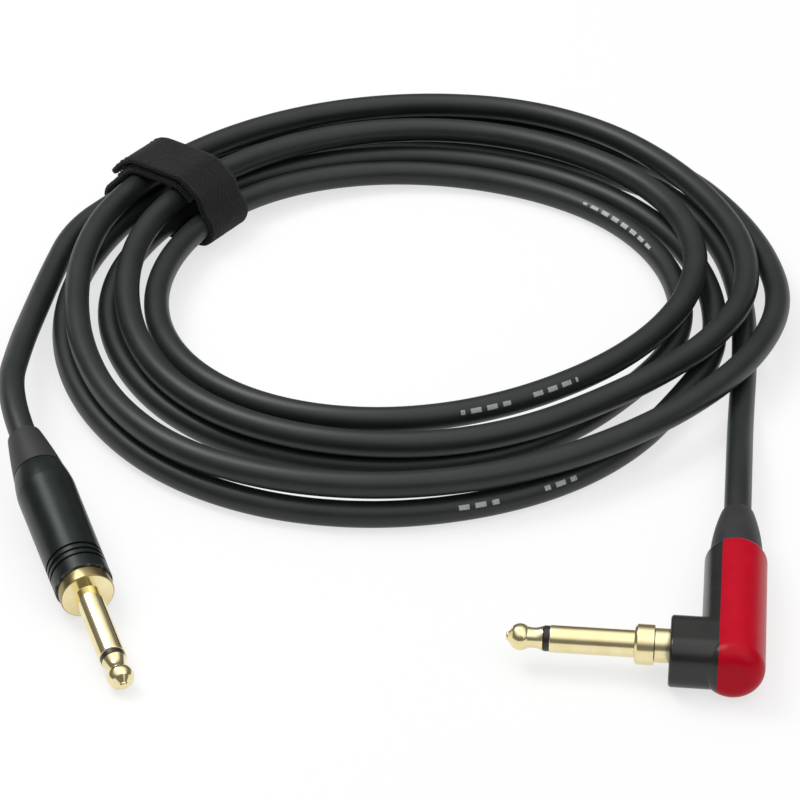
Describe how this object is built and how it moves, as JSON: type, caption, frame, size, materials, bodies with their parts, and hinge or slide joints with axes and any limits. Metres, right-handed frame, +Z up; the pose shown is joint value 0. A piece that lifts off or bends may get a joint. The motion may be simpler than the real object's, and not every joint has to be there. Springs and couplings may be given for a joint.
{
  "type": "instrument cable",
  "caption": "Round coil of shielded instrument cable held by a hook and loop tie, with a straight phone plug on one end and a right-angled muting phone plug on the other.",
  "frame": {"origin": "on the floor under the middle of the whole object's box", "axes": "+Z up, +X to the right and +Y away, seen from the side where both plugs lie; the coil's axis is parallel to Z"},
  "size_m": [0.2064, 0.264, 0.0207],
  "materials": {
    "cable_jacket": "smooth near-black jacket, satin",
    "gold_plate": "gold plated and polished",
    "black_shell": "satin black",
    "barrel_metal": "black chromed, satin",
    "red_cover": "glossy translucent-looking red",
    "insulator": "moulded black",
    "inner_plastic": "moulded natural",
    "boot_rubber": "soft matt black",
    "copper": "twisted copper strands",
    "spring_steel": "drawn wire",
    "magnet_metal": "nickel plated",
    "reed_glass": "greenish glass tube",
    "circuit_board": "green fibreglass",
    "strap_fabric": "woven black hook and loop tape"
  },
  "bodies": {
    "cable_and_plugs": {"angle_chuck": "inner_plastic", "angle_core_wire": "copper", "angle_cover": "red_cover", "angle_finger_sleeve": "gold_plate", "angle_gland_nut": "boot_rubber", "angle_housing": "black_shell", "angle_insulator_ring": "insulator", "angle_jacket_end": "cable_jacket", "angle_rod_insulator": "insulator", "angle_screen_pigtail": "copper", "angle_tip_contact": "gold_plate", "cable_coil": "cable_jacket", "cable_to_angle_plug": "cable_jacket", "cable_to_straight_plug": "cable_jacket", "reed_switch": "reed_glass", "straight_barrel": "barrel_metal", "straight_boot": "boot_rubber", "straight_chuck": "inner_plastic", "straight_core_wire": "copper", "straight_finger_sleeve": "gold_plate", "straight_insulator_ring": "insulator", "straight_jacket_end": "cable_jacket", "straight_rod_insulator": "insulator", "straight_screen_pigtail": "copper", "straight_tip_contact": "gold_plate", "switch_board": "circuit_board", "switch_spring": "spring_steel", "tie_hook_patch": "strap_fabric", "tie_strap": "strap_fabric"},
    "mute_collar": {"switch_collar": "gold_plate", "switch_magnet": "magnet_metal"},
    "tie_end": {"tie_tab": "strap_fabric"}
  },
  "joints": [
    {"name": "mute_collar_slide", "type": "slide", "parent": "cable_and_plugs", "child": "mute_collar", "axis": [0.9951, -0.0993, 0], "range_m": [0, 0.0015], "stiffness_N_per_m": 400, "springref_m": -0.002, "deforming": ["switch_spring"]},
    {"name": "tie_end_peel", "type": "hinge", "parent": "cable_and_plugs", "child": "tie_end", "pos_m": [-0.05733, 0.07582, 0.0191], "axis": [0.5878, 0.809, 0], "range_deg": [0, 100]}
  ]
}
